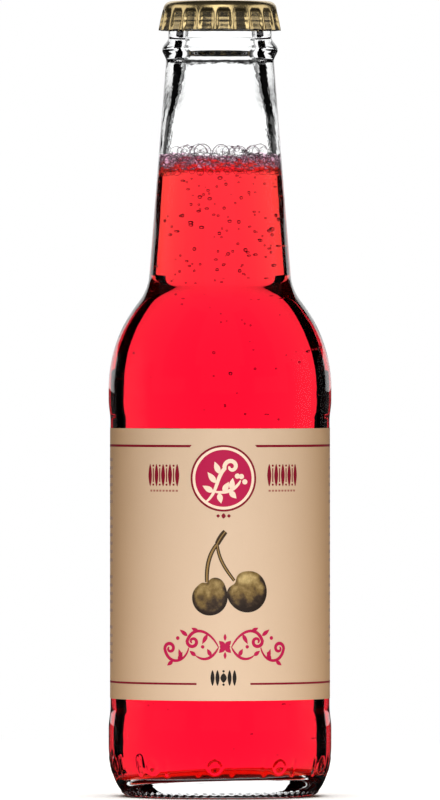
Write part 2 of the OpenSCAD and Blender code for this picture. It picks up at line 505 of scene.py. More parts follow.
def surface_relief(turn, z):
    """Raised glass on the outside of the heel: grip bars at the foot, moulded marks above."""
    bars = 0.5 + 0.5 * math.cos(KNURLS * turn + 1.5 * z)
    grip = smooth_step(0.35, 0.8, bars) * smooth_step(0.02, 0.3, z) * (1 - smooth_step(0.9, 1.5, z))
    marks = heel_mark(turn * BAND_R, z - 7.4) if 4.5 < z < 10.5 else 0.0
    return 0.3 * grip + 0.2 * marks


def make_bottle():
    bm = bmesh.new()
    outside = outside_outline()
    inside = inside_outline()
    outline = outside + bore_outline() + list(reversed(inside))
    spun(bm, outline, 6 * KNURLS)
    for v in bm.verts:
        r = math.hypot(v.co.x, v.co.y)
        if r < 1:
            continue
        turn = math.atan2(v.co.y, v.co.x)
        z = v.co.z
        if z < 12 and r > BEARING[1] - 0.1 and r > heel_inside(z) + 1:
            move = surface_relief(turn, z)
        elif is_inside(r, z):
            move = wall_wave(turn, z)
        else:
            move = 0.0
        if z < 12 and is_wetted_floor(r, z):
            v.co.z += floor_tilt(v.co.x, z)
        v.co.x += v.co.x / r * move
        v.co.y += v.co.y / r * move
    for face in bm.faces:
        middle = face.calc_center_median()
        r = math.hypot(middle.x, middle.y)
        wall = is_inside(r, middle.z) or (middle.z < 9 and is_wetted_floor(r, middle.z))
        if wall:
            face.material_index = 1 if middle.z < wet_line(math.atan2(middle.y, middle.x)) else 2
    glasses = [GLASS, WET_GLASS, ROUGH_GLASS]
    finish_piece(bm, "bottle_glass", "bottle", glasses, 60, ["glass_bottle"])


def is_wetted_floor(r, z):
    """True for a point of the inside floor and its rounded edge."""
    return z > FLOOR_Z - 0.6 and r < heel_inside(max(z, FLOOR_Z)) + 1


def heel_inside(z):
    """Radius of the inside wall near the floor."""
    if z < FLOOR_Z:
        return 0.0
    rise = min(1.0, (z - FLOOR_Z) / (LOW_BAND[0] + 1 - FLOOR_Z))
    return 17.5 + (INNER_R - 17.5) * math.sqrt(1 - (1 - rise) ** 2)


def is_inside(r, z):
    """True for a point of the inner wall, between heel and taper."""
    if z < 8 or z > 172:
        return False
    if z < HIGH_BAND[1]:
        return r < BAND_R - 1.2 and r < PANEL_R - 0.5
    if z < NECK_Z:
        return r < outer_shoulder(z) - 1.0
    return r < neck_at(z) - 1.0


def outer_shoulder(z):
    """Outside radius between the upper band and the neck."""
    lean_z = HIGH_BAND[1] + SHOULDER_ARC_R * math.sin(_lean)
    run_z = lean_z + SHOULDER_RUN * math.cos(_lean)
    if z <= lean_z:
        return SHOULDER_X + math.sqrt(SHOULDER_ARC_R ** 2 - (z - HIGH_BAND[1]) ** 2)
    if z <= run_z:
        return SHOULDER_X + SHOULDER_ARC_R * math.cos(_lean) - (z - lean_z) * math.tan(_lean)
    return HOLLOW_X - math.sqrt(HOLLOW_R ** 2 - (HOLLOW_Z - z) ** 2)


# ---------------------------------------------------------------- soda and bubbles

def make_soda():
    bm = bmesh.new()
    gap = 0.05
    wall = [(max(0, r - gap), z + (gap if z < 8 else 0)) for r, z in inside_outline()]
    brim = (neck_inside(FILL_Z) - gap, FILL_Z)
    outline = wall + straight(wall[-1], brim, 9) + straight(brim, (0, FILL_Z), 12) + [(0, FILL_Z)]
    spun(bm, outline, 192)
    for v in bm.verts:
        r = math.hypot(v.co.x, v.co.y)
        z = v.co.z
        if z < 12:
            v.co.z += floor_tilt(v.co.x, z)
        if r < 1 or z < 8:
            continue
        turn = math.atan2(v.co.y, v.co.x)
        if z > FILL_Z - 0.1:
            v.co.z -= 0.35 + 0.25 * math.sin(5 * turn + 1) * math.sin(r * 0.6)
        if z > FILL_Z - 0.1 and r < brim[0] - 0.3:
            continue
        move = wall_wave(turn, z)
        v.co.x += v.co.x / r * move
        v.co.y += v.co.y / r * move
    finish_piece(bm, "soda", "bottle", [SODA], 60, ["soda_fill"])


def make_wet_foam():
    """The liquid that stands between the lowest bubbles of the head, and wets the glass round them."""
    bm = bmesh.new()
    foot = FILL_Z - 1.0
    low, brim = neck_inside(foot) - 0.04, neck_inside(WET_Z) - 0.04
    bottom = straight((0, foot), (low, foot), 10)
    top = straight((brim, WET_Z), (0, WET_Z - 0.6), 12)
    spun(bm, [(0, foot)] + bottom + straight((low, foot), (brim, WET_Z), 9) + top + [(0, WET_Z - 0.6)], 192)
    for v in bm.verts:
        r = math.hypot(v.co.x, v.co.y)
        z = v.co.z
        if r < 0.5:
            continue
        turn = math.atan2(v.co.y, v.co.x)
        if z > WET_Z - 0.65:
            v.co.z += (wet_line(turn) - WET_Z) * r / brim + 0.3 * math.sin(5 * turn + 1) * math.sin(r * 0.9)
        if r > low - 0.5:
            move = wall_wave(turn, z)
            v.co.x += v.co.x / r * move
            v.co.y += v.co.y / r * move
    finish_piece(bm, "wet_foam", "bottle", [WET_FOAM], 60, ["foam_head"])


def inner_at(z):
    """Inside radius from floor to neck, as a guide for placing bubbles."""
    if z < LOW_BAND[0] + 1:
        return heel_inside(z)
    if z < HIGH_BAND[1]:
        return INNER_R
    if z < NECK_Z:
        return outer_shoulder(z) - WALL * 1.1
    return neck_inside(z)


def add_ball(bm, centre, size, fine, hollow=0.0):
    """A ball, or with hollow a bubble of that wall: an outer ball, and an inner one turned inside out."""
    spot = Matrix.Translation(centre)
    bmesh.ops.create_icosphere(bm, subdivisions=fine, radius=size, matrix=spot)
    if hollow:
        inner = bmesh.ops.create_icosphere(bm, subdivisions=fine, radius=size - hollow, matrix=spot)
        faces = {face for v in inner["verts"] for face in v.link_faces}
        bmesh.ops.reverse_faces(bm, faces=list(faces))


def gathered(balls):
    """One bmesh of many balls, made in small batches because an operator slows down on a large mesh."""
    whole = bmesh.new()
    batch_size = 20
    for start in range(0, len(balls), batch_size):
        batch = bmesh.new()
        for ball in balls[start:start + batch_size]:
            add_ball(batch, *ball)
        mesh = bpy.data.meshes.new("batch")
        batch.to_mesh(mesh)
        batch.free()
        whole.from_mesh(mesh)
        bpy.data.meshes.remove(mesh)
    return whole


def make_gas_bubbles():
    """Bubbles that hang in the soda, most of them up in the neck."""
    chance = random.Random(11)
    balls = []
    for count, low, high, small, large in (
        (90, 118, FILL_Z - 1, 0.12, 0.34),
        (70, 122, FILL_Z - 1, 0.24, 0.46),
        (70, 88, 120, 0.1, 0.26),
        (30, 8, 22, 0.08, 0.16),
    ):
        for _ in range(count):
            z = chance.uniform(low, high)
            size = chance.uniform(small, large)
            turn = chance.uniform(0, 2 * math.pi)
            reach = inner_at(z) - size - 0.3
            if chance.random() < 0.5:
                reach *= math.sqrt(chance.random())
            balls.append(((reach * math.cos(turn), reach * math.sin(turn), z), size, 2))
    finish_piece(gathered(balls), "gas_bubbles", "bottle", [BUBBLE], 180)


def scatter(chance, count, low, high, small, large, spread, taken, room):
    """Places balls in the neck with little overlap, some against the glass."""
    placed = []
    tries = 0
    while len(placed) < count and tries < count * 12:
        tries += 1
        z = chance.uniform(low, high)
        size = chance.uniform(small, large)
        limit = neck_inside(z) - size - 0.15
        reach = limit * (chance.random() ** spread)
        turn = chance.uniform(0, 2 * math.pi)
        spot = Vector((reach * math.cos(turn), reach * math.sin(turn), z))
        if all((spot - other).length > room * (size + far) for other, far in taken + placed):
            placed.append((spot, size))
    return placed


def make_foam():
    """The head: large thin bubbles on top, and under them small ones packed in liquid."""
    chance = random.Random(5)
    top = FOAM_TOP
    large = scatter(chance, 20, top - 2.5, top - 1.8, 1.4, 2.0, 0.2, [], 1.0)
    middle = scatter(chance, 60, WET_Z - 0.4, top - 1.5, 0.35, 0.75, 0.25, large, 0.85)
    balls = [(spot, min(size, top - spot.z), 3, 0.05) for spot, size in large]
    balls += [(spot, size, 2, 0.04) for spot, size in middle]
    wide = scatter(chance, 90, FILL_Z + 0.4, WET_Z - 0.4, 0.8, 1.3, 0.25, [], 0.7)
    small = scatter(chance, 130, FILL_Z - 0.1, WET_Z - 0.1, 0.3, 0.6, 0.15, wide, 0.75)
    sunk = scatter(chance, 75, FILL_Z - 1.3, FILL_Z + 0.3, 0.4, 0.85, 0.12, wide, 0.8)
    packed = [(spot, size, 2) for spot, size in wide + small + sunk]
    finish_piece(gathered(packed), "packed_bubbles", "bottle", [PACKED], 180)
    finish_piece(gathered(balls), "foam", "bottle", [FOAM], 180, ["foam_head"])


make_bottle()
make_soda()
make_wet_foam()
make_gas_bubbles()
make_foam()

# ---------------------------------------------------------------- label

PRINT_R = PANEL_R + LABEL_T

PAPER = grained(
    "label_paper", (0.75, 0.555, 0.395), (0.67, 0.485, 0.325), 60, 2600, 0.55, 0.25,
    Roughness=0.55, Specular_IOR_Level=0.4,
)


def paint_side_shade(material):
    """Paints shade down both sides of the label: the paper gets darker and browner towards its left and right
    edges.
    """
    tree = material.node_tree
    base = tree.nodes["Principled BSDF"].inputs["Base Color"]
    tone = base.links[0].from_socket
    across = reckon(tree, "ABSOLUTE", along(tree, place_in(tree, "Object"), "X"))
    share = reckon(tree, "POWER", reckon(tree, "DIVIDE", across, PRINT_R * MM), 3.5)
    # The painted shade: the paper's colour is multiplied by a darker brown that grows towards the sides.
    tree.links.new(blended(tree, share, tone, (0.72, 0.58, 0.40, 1), "RGBA", "MULTIPLY"), base)


# Painted shade on the label's sides.
paint_side_shade(PAPER)


def ink(name, tone, shade):
    return grained(name, tone, shade, 120, 3000, 0.5, 0.12, Roughness=0.6, Specular_IOR_Level=0.2)


CRIMSON = ink("crimson_ink", (0.26, 0.003, 0.022), (0.19, 0.002, 0.014))
MAGENTA = ink("magenta_ink", (0.52, 0.006, 0.075), (0.46, 0.004, 0.058))
CREAM = ink("cream_ink", (1.0, 0.78, 0.62), (0.93, 0.70, 0.54))
BLACK = ink("black_ink", (0.016, 0.010, 0.008), (0.028, 0.018, 0.013))
ROSE = ink("dash_ink", (0.42, 0.16, 0.12), (0.33, 0.11, 0.08))
SLATE = ink("small_print_ink", (0.40, 0.27, 0.22), (0.33, 0.21, 0.17))
BARK = ink("stem_outline", (0.060, 0.032, 0.012), (0.030, 0.016, 0.008))
STALK = ink("stem_gold", (0.36, 0.22, 0.075), (0.16, 0.085, 0.025))


def cherry_paint():
    """Old-print shading for a cherry, from its map: a plain disc with the outline at its rim."""
    material, tree = new_material("cherry_paint")
    shader = set_shader(tree, Roughness=0.6, Specular_IOR_Level=0.2)
    middle = tree.nodes.new("ShaderNodeVectorMath")
    middle.operation = "SUBTRACT"
    middle.inputs[1].default_value = (0.5, 0.5, 0)
    tree.links.new(place_in(tree, "UV"), middle.inputs[0])
    place = middle.outputs["Vector"]
    upward = reckon(tree, "MULTIPLY_ADD", along(tree, place, "Y"), 0.75, 0.24)
    lit = reckon(tree, "MULTIPLY_ADD", along(tree, place, "X"), -0.22, upward)
    hatch = eased(tree, noise(tree, 420, 6, 0.6), 0.34, 0.66, kind="LINEAR")
    tone = reckon(tree, "MULTIPLY_ADD", hatch, 0.5, lit)
    rim = eased(tree, length_of(tree, place), 0.36, 0.485)
    ramp = tree.nodes.new("ShaderNodeValToRGB")
    marks = ramp.color_ramp.elements
    marks[0].color = (0.026, 0.015, 0.010, 1)
    marks[1].color = (0.62, 0.46, 0.20, 1)
    for at, colour in (
        (0.22, (0.060, 0.036, 0.020, 1)), (0.48, (0.20, 0.125, 0.040, 1)), (0.74, (0.36, 0.25, 0.095, 1)),
    ):
        marks.new(at).color = colour
    tree.links.new(reckon(tree, "MULTIPLY_ADD", rim, -0.42, tone), ramp.inputs["Fac"])
    tree.links.new(ramp.outputs["Color"], shader.inputs["Base Color"])
    return material


CHERRY = cherry_paint()


def make_label():
    bm = bmesh.new()
    gap = LABEL_GAP / PANEL_R
    corners = ((PANEL_R, LABEL_LOW), (PRINT_R, LABEL_LOW), (PRINT_R, LABEL_HIGH), (PANEL_R, LABEL_HIGH))
    verts = [bm.verts.new((r, 0, z)) for r, z in corners]
    edges = [bm.edges.new(pair) for pair in zip(verts, verts[1:] + verts[:1])]
    bmesh.ops.rotate(bm, cent=(0, 0, 0), matrix=Matrix.Rotation(math.pi / 2 + gap / 2, 3, "Z"), verts=verts)
    sweep(bm, verts + edges, 2 * math.pi - gap, 240)
    bmesh.ops.holes_fill(bm, edges=[edge for edge in bm.edges if edge.is_boundary], sides=4)
    bmesh.ops.recalc_face_normals(bm, faces=bm.faces)
    finish_piece(bm, "label_paper", "bottle", [PAPER], 40, ["wrap_label"])


INK_T = 0.02


def print_piece(bm, name, material, over=0):
    """Gives flat print its thickness and bends it round the label. It is drawn in X and Z, Y to the glass.

    over is how many layers of ink lie under it.
    """
    xs = [v.co.x for v in bm.verts]
    cut = math.floor(min(xs)) + 1.0
    while cut < max(xs):
        whole = bm.verts[:] + bm.edges[:] + bm.faces[:]
        bmesh.ops.bisect_plane(bm, geom=whole, dist=1e-5, plane_co=(cut, 0, 0), plane_no=(1, 0, 0))
        cut += 1.0
    grown = bmesh.ops.extrude_face_region(bm, geom=bm.faces[:], use_keep_orig=True)
    raised = [part for part in grown["geom"] if isinstance(part, bmesh.types.BMVert)]
    bmesh.ops.translate(bm, vec=(0, -1.5 * INK_T, 0), verts=raised)
    for v in bm.verts:
        turn = PRINT_TURN + v.co.x / PRINT_R
        reach = PRINT_R - INK_T / 2 + over * INK_T - v.co.y
        v.co = (reach * math.sin(turn), -reach * math.cos(turn), v.co.z)
    bmesh.ops.recalc_face_normals(bm, faces=bm.faces)
    finish_piece(bm, name, "bottle", [material], 40)


def add_disc(bm, x, z, r, segments=96):
    turn = Matrix.Translation((x, 0, z)) @ Matrix.Rotation(math.pi / 2, 4, "X")
    bmesh.ops.create_circle(bm, cap_ends=True, radius=r, segments=segments, matrix=turn)


def add_ring(bm, x, z, inner, outer, segments=96):
    start = [bm.verts.new((x + inner, 0, z)), bm.verts.new((x + outer, 0, z))]
    edge = bm.edges.new(start)
    sweep(bm, start + [edge], 2 * math.pi, segments, (x, 0, z), (0, 1, 0), merge=True)


def add_shape(bm, points):
    """A filled outline of (x, z) points."""
    bm.faces.new([bm.verts.new((x, 0, z)) for x, z in points])


def add_stroke(bm, path, width):
    """A pen stroke along a path. width is a function of the share of the path done."""
    edge = None
    last = len(path) - 1
    for i, (x, z) in enumerate(path):
        ahead = path[min(i + 1, last)]
        behind = path[max(i - 1, 0)]
        along = Vector((ahead[0] - behind[0], ahead[1] - behind[1])).normalized()
        side = Vector((-along.y, along.x)) * width(i / last) / 2
        ends = (Vector((x + side.x, 0, z + side.y)), Vector((x - side.x, 0, z - side.y)))
        if edge is None:
            edge = bm.edges.new([bm.verts.new(end) for end in ends])
            continue
        first = edge.verts[0].co.copy()
        grown = bmesh.ops.extrude_edge_only(bm, edges=[edge])["geom"]
        fresh = [part for part in grown if isinstance(part, bmesh.types.BMVert)]
        fresh.sort(key=lambda v: (v.co - first).length)
        fresh[0].co, fresh[1].co = ends
        edges = [part for part in grown if isinstance(part, bmesh.types.BMEdge)]
        edge = next(part for part in edges if set(part.verts) == set(fresh))


def add_leaf(bm, x, z, turn, length, breadth):
    """A pointed leaf that grows from (x, z) at a turn in degrees."""
    a = math.radians(turn)
    points = []
    for side in (1, -1):
        steps = range(0, 9) if side == 1 else range(7, 0, -1)
        for i in steps:
            t = i / 8
            out = length * t
            off = side * breadth / 2 * math.sin(math.pi * t ** 0.8)
            points.append((
                x + out * math.cos(a) - off * math.sin(a),
                z + out * math.sin(a) + off * math.cos(a),
            ))
    add_shape(bm, points)


def tapered(width, tip=0.25):
    """A pen width that swells in the middle."""
    return lambda share: width * (tip + (1 - tip) * math.sin(math.pi * min(1, max(0, share))) ** 0.6)


def spiral(x, z, r0, r1, a0, a1, n):
    """Points on a spiral about (x, z), from radius r0 at a0 degrees to r1 at a1."""
    points = []
    for i in range(n + 1):
        t = i / n
        a = math.radians(a0 + (a1 - a0) * t)
        r = r0 + (r1 - r0) * t
        points.append((x + r * math.cos(a), z + r * math.sin(a)))
    return points


def add_spindle(bm, x, z, breadth, height):
    """A tall lozenge with hollowed flanks."""
    points = []
    for start in (0, 90, 180, 270):
        for i in range(6):
            a = math.radians(start + 15 * i)
            across, up = math.cos(a), math.sin(a)
            points.append((
                x + math.copysign(abs(across) ** 1.35, across) * breadth / 2,
                z + math.copysign(abs(up) ** 1.35, up) * height / 2,
            ))
    add_shape(bm, points)


def add_bar(bm, x0, z0, x1, z1):
    add_shape(bm, [(x0, z0), (x1, z0), (x1, z1), (x0, z1)])


EMBLEM_Z = 74.4


def make_emblem():
    """A round emblem with a curled sprig in it."""
    bm = bmesh.new()
    add_ring(bm, 0, EMBLEM_Z, 7.23, 7.7)
    print_piece(bm, "emblem_ring", CRIMSON)
    bm = bmesh.new()
    add_ring(bm, 0, EMBLEM_Z, 6.6, 7.23)
    print_piece(bm, "emblem_halo", CREAM)
    bm = bmesh.new()
    add_disc(bm, 0, EMBLEM_Z, 6.6)
    print_piece(bm, "emblem_disc", MAGENTA)
    bm = bmesh.new()
    z = EMBLEM_Z
    stem = curve((-3.4, z - 4.6), (-1.2, z - 3.0), (-1.4, z + 0.4), (0.2, z + 1.9), 14)
    add_stroke(bm, stem + spiral(1.55, z + 2.3, 1.42, 0.35, 197, -190, 24)[1:], tapered(0.82, 0.4))
    twig = curve((-1.9, z - 2.6), (0.4, z - 3.2), (2.6, z - 2.2), (3.4, z - 0.4), 12)
    add_stroke(bm, twig, tapered(0.66, 0.35))
    for x, up, turn, length in (
        (-2.0, -2.7, 150, 2.5), (-1.5, -0.9, 128, 2.7), (-0.8, 0.9, 112, 2.6),
        (-0.1, -2.7, 60, 2.3), (1.5, -2.3, 82, 2.4), (1.2, -2.5, -48, 2.0), (-0.9, -2.9, -78, 2.1),
    ):
        add_leaf(bm, x, z + up, turn, length, 1.15)
    for x, up in ((3.55, 0.35), (4.25, -0.7), (2.75, 0.45)):
        add_disc(bm, x, z + up, 0.52, 20)
    bmesh.ops.scale(bm, vec=(1.17, 1, 1.17), space=Matrix.Translation((0, 0, -z)), verts=bm.verts)
    print_piece(bm, "emblem_sprig", CREAM, 1)


def make_rules():
    """Crimson rules over and under the print, open in the middle."""
    bm = bmesh.new()
    for z, half, inner, slant in ((81.85, 0.275, 7.45, 0.4), (26.8, 0.235, 6.3, 0)):
        for side in (-1, 1):
            end = side * 76.5
            near, far = side * inner, side * (inner + slant)
            add_shape(bm, [(end, z - half), (far, z - half), (near, z + half), (end, z + half)])
    print_piece(bm, "print_rules", CRIMSON)


def make_blocks():
    """Pickets of spindles and bars beside the emblem, over a row of dashes."""
    bm = bmesh.new()
    for side in (-1, 1):
        for i in range(5):
            x = side * (11.0 + 1.83 * i)
            add_spindle(bm, x, 75.1, 1.05, 5.2)
            if i < 4:
                between = x + side * 0.915
                add_bar(bm, between - 0.15, 73.5, between + 0.15, 76.7)
                add_disc(bm, between, 77.3, 0.26, 12)
                add_disc(bm, between, 72.9, 0.26, 12)
    for x in (-1.25, 0, 1.25):
        add_spindle(bm, x, 65.7, 0.8 if x else 1.0, 0.8 if x else 1.2)
    print_piece(bm, "print_pickets", CRIMSON)
    bm = bmesh.new()
    for side in (-1, 1):
        for i in range(9):
            x = side * (11.1 + 0.86 * i)
            add_bar(bm, x - 0.27, 71.28, x + 0.27, 71.72)
    print_piece(bm, "print_dashes", ROSE)


def one_side(points, middle, side):
    """The points moved to start from the middle, or their mirror image where the side is -1."""
    return [(middle + side * x, z) for x, z in points]


def make_flourish():
    """A vine scroll under the cherries, the same on both sides."""
    bm = bmesh.new()
    middle = 0.35
    for side in (-1, 1):
        over = curve((1.5, 35.3), (3.6, 39.6), (7.6, 40.4), (8.9, 36.7), 18)
        over += spiral(7.55, 36.6, 1.35, 0.3, 0, -420, 26)[1:]
        under = curve((8.5, 35.2), (9.3, 31.4), (13.7, 31.0), (14.55, 34.9), 18)
        under += spiral(13.2, 35.0, 1.35, 0.3, 0, 420, 26)[1:]
        shoot = curve((1.5, 35.3), (2.6, 33.0), (4.6, 31.6), (6.9, 33.4), 14)
        for path, width in ((over, 0.8), (under, 0.8), (shoot, 0.66)):
            add_stroke(bm, one_side(path, middle, side), tapered(width, 0.3))
        for x, z, turn, length in (
            (4.1, 38.3, -62, 2.6), (8.8, 37.9, 38, 2.4), (10.2, 32.5, 72, 2.5), (12.4, 32.1, -35, 1.9),
            (3.2, 33.2, 62, 2.0), (6.8, 33.3, 38, 1.9), (11.1, 32.2, 118, 2.3), (6.2, 38.9, 28, 1.9),
        ):
            add_leaf(bm, middle + side * x, z, turn if side > 0 else 180 - turn, length, 0.95)
        add_disc(bm, middle + side * 11.2, 37.4, 0.45, 16)
        add_disc(bm, middle + side * 5.2, 35.4, 0.42, 16)
    for turn in range(45, 360, 90):
        add_leaf(bm, middle, 35.4, turn, 2.0, 1.2)
    for x in (-0.95, 0.95):
        add_disc(bm, middle + x, 35.4, 0.3, 12)
    for z in (33.4, 37.6):
        add_spindle(bm, middle, z, 0.7, 1.6)
    print_piece(bm, "print_flourish", MAGENTA)
    bm = bmesh.new()
    for x in (-2.55, -1.4, 1.4, 2.55):
        add_spindle(bm, x, 28.2, 0.95, 3.65)
    add_spindle(bm, 0, 28.2, 1.5, 2.2)
    add_disc(bm, 0, 29.75, 0.28, 12)
    add_disc(bm, 0, 26.65, 0.28, 12)
    print_piece(bm, "print_black", BLACK)


def make_small_print():
    """Lines of dashes round the sides and the back, where the small print goes."""
    chance = random.Random(23)
    bm = bmesh.new()
    for side in (-1, 1):
        for row in range(25):
            z = 78.2 - 1.95 * row
            if row in (6, 13, 19):
                continue
            x = 35.4
            end = 71.0 - chance.uniform(0, 9)
            while x < end:
                word = chance.uniform(0.9, 3.4)
                add_bar(bm, side * x, z, side * (x + word), z + 0.72)
                x += word + 0.6
    print_piece(bm, "print_small", SLATE)


def bumpy(radius, bumps):
    """An outline: the radius at a turn in degrees, with (turn, width, height) bumps and dips."""
    def at(turn):
        total = radius
        for middle, width, height in bumps:
            away = (turn - middle + 180) % 360 - 180
            total += height * math.exp(-(away / width) ** 2)
        return total

    return at


def make_cherry(name, x, z, outline, over):
    """One cherry of the print. Its map holds each point's place on a plain disc, for the shading."""
    bm = bmesh.new()
    line = [bm.verts.new((i / 12, 0, 0)) for i in range(13)]
    edges = [bm.edges.new(pair) for pair in zip(line, line[1:])]
    sweep(bm, line + edges, 2 * math.pi, 72, axis=(0, 1, 0), merge=True)
    bmesh.ops.remove_doubles(bm, verts=bm.verts, dist=1e-4)
    chart = bm.loops.layers.uv.new("disc")
    for face in bm.faces:
        for loop in face.loops:
            loop[chart].uv = (0.5 + loop.vert.co.x / 2, 0.5 + loop.vert.co.z / 2)
    for v in bm.verts:
        reach = outline(math.degrees(math.atan2(v.co.z, v.co.x)))
        v.co = (x + v.co.x * reach, 0, z + v.co.z * reach)
    print_piece(bm, name, CHERRY, over)


def make_cherries():
    """A pair of cherries on their stalks."""
    make_cherry("cherry_left", -3.2, 46.8, bumpy(4.15, [(62, 28, 0.8), (101, 12, -0.7), (130, 24, -0.25)]), 0)
    make_cherry("cherry_right", 5.6, 48.1, bumpy(4.75, [(190, 22, 0.12), (145, 20, -1.15), (60, 30, 0.2)]), 1)
    fork = (-1.47, 59.2)
    left = curve(fork, (-3.5, 56.8), (-4.0, 53.6), (-3.85, 50.35), 16)
    right = curve(fork, (-1.2, 55.6), (0.6, 53.2), (2.5, 50.7), 16)
    cut = curve((0.45, 62.1), (-0.2, 61.4), (-0.9, 60.4), fork, 8)
    for name, material, widths, over in (
        ("cherry_stalks_edge", BARK, (1.0, 0.82, 1.35), 0), ("cherry_stalks", STALK, (0.4, 0.28, 0.25), 1),
    ):
        bm = bmesh.new()
        for path, width in zip((left, right, cut), widths):
            add_stroke(bm, path, tapered(width, 0.85))
        print_piece(bm, name, material, over)


make_label()
make_emblem()
make_rules()
make_blocks()
make_flourish()
make_small_print()
make_cherries()

# ---------------------------------------------------------------- crown

def ridge_share(turn):
    """1 on a ridge of the skirt, 0 across the flat of a hollow."""
    phase = (math.degrees(turn) - FLUTE_TURN) * FLUTES / 360
    away = abs(phase - round(phase)) * 2
    return 1 - smooth_step(0.02, 0.5, away)


def ridge_line():
    """The crown's skin over a ridge, as (radius, depth under the top)."""
    corner = arc(11.3, 1.95, 1.95, -90, -20, 12)
    skirt = []
    for i in range(1, 27):
        t = i / 26
        skirt.append((13.13 + 1.22 * (t + 0.25 * t * (1 - t)), 1.28 + 5.52 * t))
    return [(0, 0), (4, 0), (8, 0), (10.6, 0)] + corner + skirt


def hollow_at(r, depth, share):
    """The skin's radius in a hollow, where a ridge has radius r. Its top is an arch between the ridges."""
    arch = 1.35 + 1.0 * share
    opened = smooth_step(arch, arch + 1.3, depth)
    cup = 13.13 + 0.10 * smooth_step(2.1, 3.9, depth) + 0.2 * smooth_step(3.9, 4.6, depth)
    lip = 0.6 * smooth_step(4.9, 6.8, depth)
    return r + (min(r, cup + lip) - r) * opened


GOLD = grained(
    "gold_lacquer", (0.60, 0.46, 0.23), (0.45, 0.33, 0.14), 420, 5200, 0.5, 0.2,
    Metallic=1.0, Roughness=0.26,
)
# Nearly black, as painted shade: the crown's inside gets this colour to stand for the shade in it.
INSIDE_SHADE = grained(
    "crown_inside_shade", (0.035, 0.03, 0.025), (0.02, 0.017, 0.014), 300, 2500, 0.4, 0.1, Roughness=0.5
)
SEAL = grained("liner_seal", (0.75, 0.75, 0.72), (0.66, 0.66, 0.63), 300, 2500, 0.4, 0.2, Roughness=0.45)


def make_crown():
    bm = bmesh.new()
    skin = ridge_line()
    inner = []
    for i, (r, depth) in enumerate(skin):
        before = skin[max(i - 1, 0)]
        after = skin[min(i + 1, len(skin) - 1)]
        along = Vector((after[0] - before[0], after[1] - before[1])).normalized()
        inner.append((max(0, r - TIN * along.y), depth + TIN * along.x))
    inner[0] = (0, TIN)
    inner[-1] = (skin[-1][0] - TIN, skin[-1][1])
    spun(bm, [(r, CROWN_TOP - depth) for r, depth in skin + list(reversed(inner))], 24 * FLUTES)
    for v in bm.verts:
        r = math.hypot(v.co.x, v.co.y)
        depth = CROWN_TOP - v.co.z
        if r < 11 or depth < 1.15:
            continue
        share = ridge_share(math.atan2(v.co.y, v.co.x))
        low = hollow_at(r, depth, share)
        goal = low + (r - low) * share
        v.co.x *= goal / r
        v.co.y *= goal / r
    bm.normal_update()
    # Faces that look inward, and the underside of the top, get the painted shade colour of the inside.
    for face in bm.faces:
        middle = face.calc_center_median()
        outward = face.normal.x * middle.x + face.normal.y * middle.y
        if outward < 0 or face.normal.z < -0.9:
            face.material_index = 1
    finish_piece(bm, "crown_cap", "crown", [GOLD, INSIDE_SHADE], 60, ["crown_shell"])


def make_liner():
    bm = bmesh.new()
    seat = GLASS_H + 0.05
    top = CROWN_TOP - TIN
    outline = [(0, top), (0, seat + 0.25), (7.1, seat + 0.25), (7.45, seat - 0.5)]
    outline += arc(7.7, seat - 0.5, 0.2, 180, 360, 6) + [(8.2, seat), (9.0, seat + 0.12), (9.6, seat)]
    outline += [(10.4, seat), (11.0, seat + 0.1), (11.2, seat + 0.3), (11.2, top)]
    spun(bm, outline, 144)
    finish_piece(bm, "crown_seal", "crown", [SEAL], 40, ["crown_liner"])


make_crown()
make_liner()

# ---------------------------------------------------------------- studio

# How bright the surround is: seen through glass, mirrored from the backdrop, dark, and as fill light
THROUGH_LEVEL = 1.3
BACKDROP_LEVEL = 0.9
DARK_LEVEL = 0.03
FILL_LEVEL = 0.2


def by_ray(tree, path, strength, levels):
    """Changes a strength for each kind of ray named. The last one that fits wins."""
    for ray, level in levels:
        strength = blended(tree, path.outputs[ray], strength, level)
    return strength


def make_floor():
    """A pale floor: lit and shaded near the object, plain white far from it or seen through glass."""
    bm = bmesh.new()
    bmesh.ops.create_circle(bm, cap_ends=True, radius=60, segments=96)
    material, tree = new_material("pale_floor")
    tree.nodes.remove(tree.nodes["Principled BSDF"])
    place = place_in(tree, "Object")
    path = tree.nodes.new("ShaderNodeLightPath")
    mirrored = reckon(tree, "GREATER_THAN", path.outputs["Glossy Depth"], 0.5)
    behind = eased(tree, along(tree, place, "Y"), -0.05, 0.15, DARK_LEVEL, 1.0)
    strength = by_ray(tree, path, 1.0, (
        ("Is Glossy Ray", DARK_LEVEL), ("Is Diffuse Ray", FILL_LEVEL), ("Is Transmission Ray", THROUGH_LEVEL),
    ))
    glow = tree.nodes.new("ShaderNodeEmission")
    dimming = blended(tree, mirrored, 1.0, behind)
    plug(tree, glow.inputs["Strength"], reckon(tree, "MULTIPLY", strength, dimming))
    dull = tree.nodes.new("ShaderNodeBsdfDiffuse")
    dull.inputs["Color"].default_value = (0.9, 0.9, 0.9, 1)
    far = eased(tree, length_of(tree, place), 0.06, 0.45)
    white = reckon(tree, "MAXIMUM", far, mirrored)
    white = reckon(tree, "MAXIMUM", white, path.outputs["Is Transmission Ray"])
    mix = tree.nodes.new("ShaderNodeMixShader")
    for socket, value in zip(mix.inputs, (white, dull.outputs[0], glow.outputs[0])):
        plug(tree, socket, value)
    tree.links.new(mix.outputs[0], tree.nodes["Material Output"].inputs["Surface"])
    add_object("floor", bm, [material])


# Tiers of flags: how many, their distance, foot and top in metres, and the degrees off the line of sight
# that each covers. Two stand behind the object, four stand behind and in front, and eight at the sides too.
FLAG_TIERS = (
    (2, 0.75, 0.0005, 0.2, 39, 58),
    (4, 0.4, 0.155, 0.9, 26, 62),
    (8, 0.065, 0.0005, 0.114, 16.5, 29),
)


